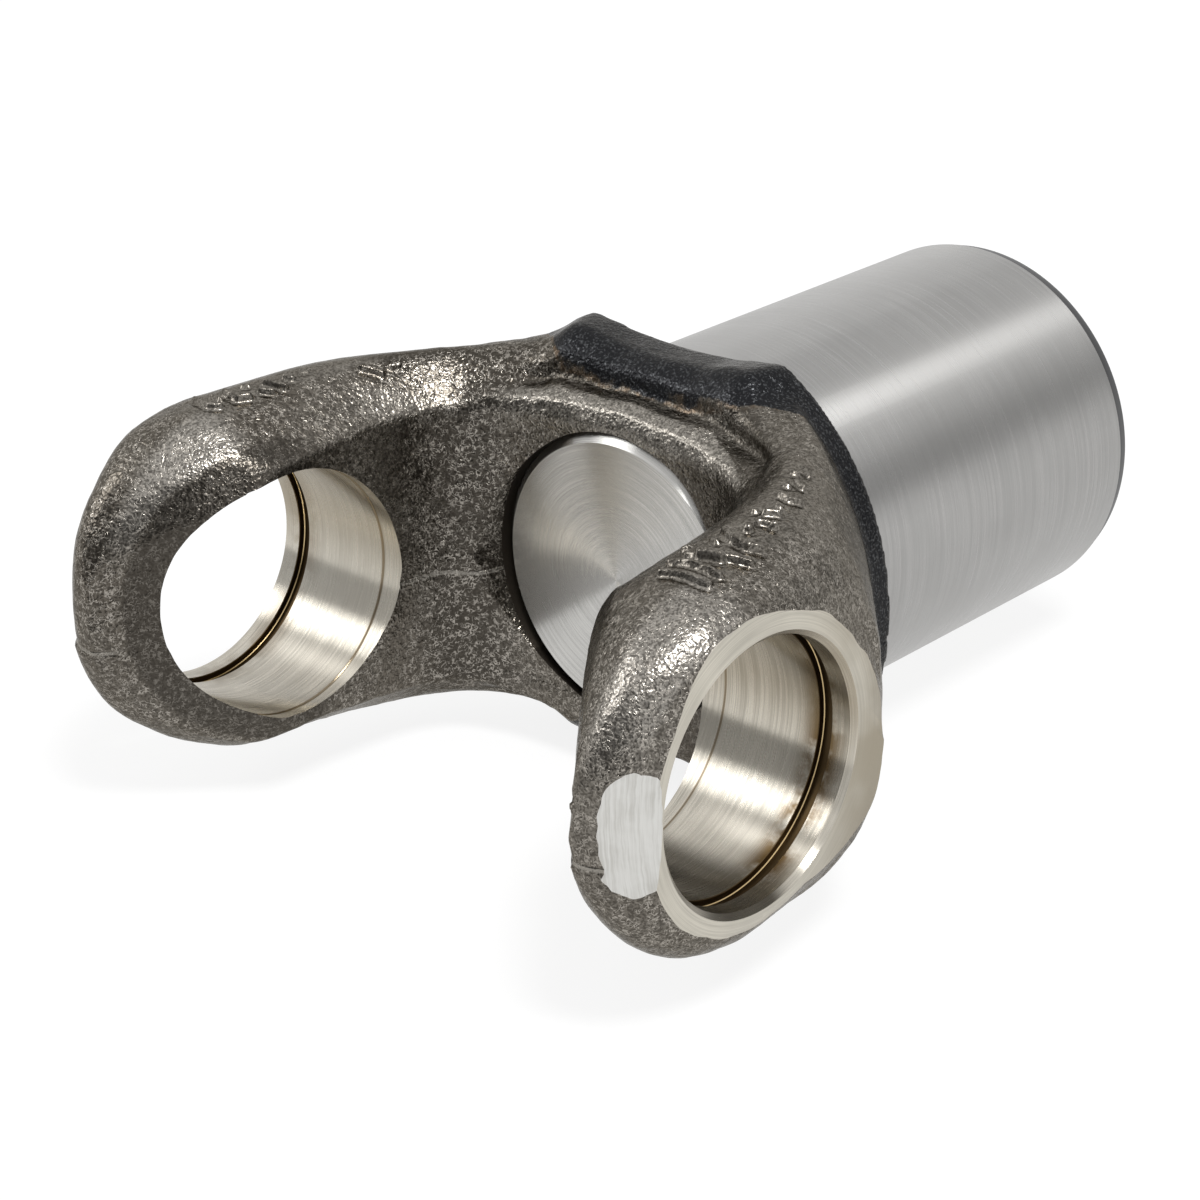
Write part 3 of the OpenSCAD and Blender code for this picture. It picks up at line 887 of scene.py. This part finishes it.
def forged_skin():
    """Blasted skin with curly ridges and pits, painted sheen and painted shade, black scale behind a rusty
    border, faint parting line.
    """
    f = Finish("forged_skin", specular_tint=GRAZING_TINT)
    out, from_bore = f.calc("ABSOLUTE", f.x), f.radius(f.y, f.z)
    curls = f.ramp(f.off(f.grain(1100.0, 0.0, 0.5, 0.9), 0.5), 0.095, 0.03)
    curls = f.times(curls, f.ramp(f.grain(650.0, 1.0), 0.36, 0.56))
    lumps, fine, soft = f.grain(1000.0, 0.0, 0.5, 0.7), f.grain(1900.0, 0.0), f.grain(260.0, 1.0, 0.5)
    band = mark_band(f, out)
    rough = f.ramp(f.grain(55.0, 3.0, 0.6), 0.38, 0.60, 0.7, 1.0)
    rough = f.times(rough, f.less(1.0, f.times(band, 0.6)))
    # reach is the distance out from the throat's wall, and over is 1 on the top of the saddle and arms
    reach = f.most(f.less(f.y, SADDLE_Y * MM), f.less(f.radius(f.x, f.y), THROAT_SKIN_R * MM))
    over = f.times(f.ramp(f.z, 0.028, 0.036), f.ramp(f.y, 0.020, 0.040))

    skin = f.blend(f.ramp(f.grain(38.0, 4.0, 0.6), 0.36, 0.64), SKIN_DARK, SKIN_LIGHT)
    skin = sheen_and_band_skin(f, skin, out, band, over, reach, from_bore)
    skin, shade_share = painted_shade_skin(f, skin, out, over, reach, from_bore)
    skin = f.blend(f.times(f.ramp(fine, 0.56, 0.38), 0.6), skin, PIT)
    # Darker in the low spots of the lumps
    skin = f.blend(f.times(f.ramp(lumps, 0.52, 0.36), 0.3), skin, LUMP_LOW_DARK)
    # Bright curls, partly painted glints, are painted fewer where shade is painted
    skin = f.blend(f.times(curls, rough, f.ramp(shade_share, 0.0, 1.0, 0.65, 0.25)), skin, BRIGHT_CURL)
    skin, scale = rusty_border(f, skin, out)
    flash = flash_mark(f, from_bore)
    skin = f.blend(f.times(flash, 0.55), skin, FLASH_LINE)
    black = f.blend(f.times(f.ramp(fine, 0.56, 0.70), 0.4), SCALE_BLACK, SCALE_SPECK)
    f.wear("Base Color", f.blend(scale, skin, black))
    f.wear("Metallic", f.ramp(scale, 0.0, 1.0, 1.0, 0.7))
    f.wear("Roughness", f.ramp(lumps, 0.36, 0.62, 0.30, 0.21))
    height = f.plus(f.times(curls, 0.09), f.times(lumps, 0.65), f.times(soft, 0.6), f.times(fine, 0.26),
                    f.times(flash, 0.5))
    f.relief(f.times(height, rough), 1.0, 0.0003)


def ground_spot():
    """Flat spot with fine upright grinding marks."""
    f = Finish("ground_spot", metallic=1.0)
    fine = f.grain(1.0, 3.0, 0.6, at=f.vector(f.times(f.y, 2600.0), 0.0, f.times(f.z, 60.0)))
    tone = f.plus(f.times(fine, 0.65), f.times(f.grain(140.0, 3.0, 0.6), 0.35))
    f.wear("Base Color", f.blend(f.ramp(tone, 0.36, 0.62), SPOT_DARK, SPOT_LIGHT))
    f.wear("Roughness", f.ramp(tone, 0.3, 0.7, 0.44, 0.34))
    f.relief(fine, 0.25, 0.00005)


def brushed(name, colour, roughness, along, pair, stain_and_light=None, contrast=0.06, **fixed):
    """Machined steel whose fine tool marks run round an axis. along is the distance that the marks repeat in,
    or None on a face square to the axis, and pair are the two directions at right angles to the axis."""
    f = Finish(name, metallic=1.0, **fixed)
    across, up = (getattr(f, k) for k in pair)
    lines_at = getattr(f, along) if along else f.radius(across, up)
    turn = f.angle(across, up)
    fine = f.grain(1.0, 2.0, 0.7, at=f.vector(f.times(lines_at, 4200.0), turn, 0.0))
    broad = f.grain(1.0, 2.0, 0.5, at=f.vector(f.times(lines_at, 900.0), f.times(turn, 0.5), 4.0))
    tone = f.plus(f.times(fine, 0.6), f.times(broad, 0.2), f.times(f.grain(60.0, 3.0, 0.6), 0.2))
    dark, light = (rgb(*(c * k for c in colour)) for k in (1 - 1.4 * contrast, 1 + contrast))
    shade = f.blend(f.ramp(tone, 0.36, 0.64), dark, light)
    f.wear("Base Color", stain_and_light(f, shade) if stain_and_light else shade)
    f.wear("Roughness", f.ramp(tone, 0.3, 0.7, roughness + 0.03, roughness - 0.03))
    f.relief(fine, 0.1, 0.00005)
    return f


def tangent(f, x, y, z):
    """Direction that the gloss is drawn out in."""
    f.wear("Tangent", f.vector(x, y, z))


def tangent_outwards(f, first, second):
    """Gloss drawn out away from an axis, on a face square to it. first and second name the two directions."""
    across = f.radius(getattr(f, first), getattr(f, second))
    shares = {name: f.calc("DIVIDE", getattr(f, name), across) for name in (first, second)}
    tangent(f, *(shares.get(name, 0.0) for name in "xyz"))


def bore_stains_and_painted_light(f, shade):
    """Warm stains beside the snap ring grooves, a warmer and darker top, painted light that makes the back of
    the left bore paler, and a painted dark reflection on the bottom of the right bore.
    """
    out = f.calc("ABSOLUTE", f.x)
    # Painted light that makes the back of the left bore paler
    painted_light_back = f.times(f.ramp(f.x, 0.0, -0.020, 0.0, 0.5), f.ramp(f.y, 0.020, 0.027))
    shade = f.blend(painted_light_back, shade, BORE_PAINTED_LIGHT)
    groove_middle = (GROOVE_X + 1.5) * MM
    near = f.times(f.ramp(f.off(out, groove_middle), 0.0075, 0.0014), f.ramp(f.x, -0.010, 0.010, 0.4, 1.0))
    shade = f.blend(f.times(near, f.ramp(f.grain(95.0, 4.0, 0.65), 0.36, 0.58)), shade, BORE_BROWN)
    # Warmer and darker towards the top of the bores
    shade = f.blend(f.ramp(f.z, -0.012, 0.006, 0.0, 0.55), shade, BORE_WARM)
    # Painted dark reflection on the bottom of the right bore
    low = f.times(f.ramp(f.y, 0.010, 0.003), f.ramp(f.z, -0.020, -0.026), f.ramp(f.x, 0.0, 0.020))
    shade = f.blend(low, shade, BORE_DARK_REFLECTION)
    inner = f.ramp(f.off(out, (INNER_STEP_X - 0.1) * MM), 0.0006, 0.0001)
    return f.blend(f.times(inner, 0.8), shade, BORE_EDGE)


def face_tone_towards_hub(f, shade):
    """Ear faces a little darker and warmer towards the hub."""
    near = f.times(f.ramp(f.y, 0.008, 0.036), f.ramp(f.grain(45.0, 3.0), 0.25, 0.60))
    return f.blend(near, shade, FACE_DULL)


def make_finishes():
    """Makes every finish that the pieces wear."""
    forged_skin()
    bore = brushed("bore_steel", (0.58, 0.545, 0.475), 0.28, "x", "yz", bore_stains_and_painted_light, 0.17, anisotropic=0.98)
    tangent(bore, 1.0, 0.0, 0.0)
    # Dark groove: partly a stain, partly painted shade inside the groove
    brushed("groove_steel", (0.075, 0.05, 0.024), 0.4, "x", "yz")
    # Golden bottom corners of the groove: a painted highlight
    brushed("groove_edge", (0.56, 0.42, 0.22), 0.28, "x", "yz")
    face = brushed("faced_steel", (0.55, 0.52, 0.45), 0.34, None, "yz", face_tone_towards_hub, 0.12, anisotropic=0.85)
    tangent_outwards(face, "y", "z")
    ground_spot()
    # Near-black seat: painted shade in the gap round the plug
    brushed("seat_steel", (0.05, 0.042, 0.034), 0.38, "y", "xz")
    brushed("spline_steel", (0.34, 0.33, 0.31), 0.36, "y", "xz")
    hub_steel = brushed("ground_hub", (0.40, 0.395, 0.385), 0.29, "y", "xz", anisotropic=0.98)
    tangent(hub_steel, 0.0, 1.0, 0.0)
    brushed("hub_chamfer", (0.07, 0.07, 0.072), 0.4, "y", "xz")
    plug = brushed("turned_plug", (0.53, 0.523, 0.503), 0.25, None, "xz", contrast=0.1, anisotropic=0.95)
    tangent_outwards(plug, "x", "z")


# Assembly

def end_plug():
    """Turned plug pressed into the saddle."""
    r, end = SEAT_R - PLUG_PLAY, PLUG_Y + PLUG_T
    profile = [(PLUG_Y, 0.02), (PLUG_Y, r - PLUG_CHAMFER), (PLUG_Y + PLUG_CHAMFER, r), (end, r), (end, 0.02)]
    return turned("end_plug_turned", "Y", profile, ["turned_plug"], FINE_ROUND)


def drop_unused_finishes(target):
    """Keeps only the finishes that the faces of a piece wear."""
    index = [f.material_index for f in target.data.polygons]
    used = sorted(set(index))
    kept = [target.data.materials[i] for i in used]
    target.data.materials.clear()
    for finish in kept:
        target.data.materials.append(finish)
    target.data.polygons.foreach_set("material_index", [used.index(i) for i in index])


def finish_piece(target, slot, *nodes):
    """Shades a finished piece, and sets it in the place of its solids."""
    drop_unused_finishes(target)
    target.data.polygons.foreach_set("use_smooth", [True] * len(target.data.polygons))
    target.data.set_sharp_from_angle(angle=math.radians(SHARP_ANGLE))
    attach(target, "root")
    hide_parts(*nodes)


make_finishes()
yoke = rough_forging()
joined(yoke, hub(), "UNION")
for tool in (bore_tool(), face_tool(1), face_tool(-1), spot_tool(), hub_bore_tool(), spline_tool()):
    joined(yoke, tool, "DIFFERENCE")
yoke.name = "yoke_forged"
finish_piece(yoke, "forged_steel", "yoke")
finish_piece(end_plug(), "turned_steel", "end_plug")


# Studio

# Light of the surroundings on the object, where its middle is, and how far off the flags stand
SKY_LIGHT = 0.32
MIDDLE = (0.0, 0.03, 0.0)
FLAG_DISTANCE = 3

# Camera fitted to the photo: place, azimuth, elevation and roll in degrees, focal length in pixels
CAMERA_PLACE = (0.41939, -0.40840, 0.27414)
CAMERA_TURN = (42.715, 24.135, -0.8599)
CAMERA_FOCUS = 3052.75
PHOTO_WIDTH = 1200
SENSOR_WIDTH = 36


def stage_plane(name, size, place, turn, colour, background=0.0, seen=True):
    """Floor or panel; background is the white it adds where the camera or a glossy surface sees it."""
    bpy.ops.mesh.primitive_plane_add(size=1)
    made = bpy.context.object
    made.name = name
    made.data.transform(Matrix.Diagonal((*size, 1, 1)))
    made.matrix_world = Matrix.Translation(place) @ turn.to_4x4()
    material = bpy.data.materials.new(name)
    material.use_nodes = True
    tree = material.node_tree
    shader = tree.nodes["Principled BSDF"]
    shader.inputs["Base Color"].default_value = (colour, colour, colour, 1)
    shader.inputs["Roughness"].default_value = 0.9
    if background:
        shader.inputs["Emission Color"].default_value = (1, 1, 1, 1)
        tree.links.new(seen_white(tree, background), shader.inputs["Emission Strength"])
    made.data.materials.append(material)
    made.visible_camera = made.visible_shadow = made.visible_diffuse = seen


def combined(tree, operation, first, second):
    """Output of a math node on a socket and a second socket or a number."""
    node = tree.nodes.new("ShaderNodeMath")
    node.operation = operation
    tree.links.new(first, node.inputs[0])
    if isinstance(second, float):
        node.inputs[1].default_value = second
    else:
        tree.links.new(second, node.inputs[1])
    return node.outputs[0]


def seen_white(tree, strength):
    """The strength for camera, glossy and transmission rays, and none for the rest."""
    path = tree.nodes.new("ShaderNodeLightPath").outputs
    seen = combined(tree, "MAXIMUM", path["Is Camera Ray"], path["Is Glossy Ray"])
    seen = combined(tree, "MAXIMUM", seen, path["Is Transmission Ray"])
    return combined(tree, "MULTIPLY", seen, strength)


def softbox(name, place, target, size, radiance):
    """Rectangular lamp of a given brightness, turned to a point."""
    lamp = bpy.data.lights.new(name, "AREA")
    lamp.shape = "RECTANGLE"
    lamp.size, lamp.size_y = size
    lamp.energy = radiance * math.pi * size[0] * size[1]
    made = bpy.data.objects.new(name, lamp)
    bpy.context.scene.collection.objects.link(made)
    made.location = place
    made.rotation_euler = (Vector(target) - Vector(place)).to_track_quat("-Z", "Y").to_euler()


def studio():
    """Pale floor, white surroundings, two softboxes, a grey panel behind the camera and two grey flags."""
    stage_plane("floor", (16, 16), (0, 0, FLOOR_Z), Matrix.Identity(3), 0.15, background=0.86)
    upright = Matrix.Rotation(math.radians(90), 3, "X")
    stage_plane("room_side", (6, 2.2), (0.3, -2.6, FLOOR_Z + 1.1), upright, 0.42, seen=False)
    for name, way, size, grey in (("flag_right", (1.0, 0.75, 0.36), (5.0, 0.9), 0.45),
                                  ("flag_back", (0.1, 0.67, 0.78), (2.6, 0.8), 0.6)):
        way = Vector(way).normalized()
        turn = way.to_track_quat("Z", "Y").to_matrix()
        stage_plane(name, size, way * FLAG_DISTANCE, turn, 0.05, background=grey, seen=False)
    world = bpy.context.scene.world or bpy.data.worlds.new("surroundings")
    bpy.context.scene.world = world
    world.use_nodes = True
    sky = world.node_tree.nodes["Background"]
    sky.inputs["Color"].default_value = (1, 1, 1, 1)
    strength = combined(world.node_tree, "ADD", seen_white(world.node_tree, 1 - SKY_LIGHT), SKY_LIGHT)
    world.node_tree.links.new(strength, sky.inputs["Strength"])
    softbox("softbox_above", (1.30, -0.45, 2.64), MIDDLE, (0.74, 0.74), 40.0)
    softbox("softbox_left", (-1.92, -1.50, 1.72), MIDDLE, (1.1, 1.1), 4.8)


def camera():
    """Camera where the photo was taken from."""
    az, el, roll = (math.radians(v) for v in CAMERA_TURN)
    back = Vector((math.sin(az) * math.cos(el), -math.cos(az) * math.cos(el), math.sin(el)))
    level = Vector((math.cos(az), math.sin(az), 0))
    upright = back.cross(level)
    right = level * math.cos(roll) + upright * math.sin(roll)
    up = upright * math.cos(roll) - level * math.sin(roll)
    lens = bpy.data.cameras.new("camera")
    lens.sensor_width = SENSOR_WIDTH
    lens.lens = SENSOR_WIDTH * CAMERA_FOCUS / PHOTO_WIDTH
    lens.clip_start = 0.01
    made = bpy.data.objects.new("camera", lens)
    bpy.context.scene.collection.objects.link(made)
    turn = Matrix((right, up, back)).transposed()
    made.matrix_world = Matrix.Translation(CAMERA_PLACE) @ turn.to_4x4()
    bpy.context.scene.camera = made


studio()
camera()
bpy.context.scene.view_settings.view_transform = "Standard"
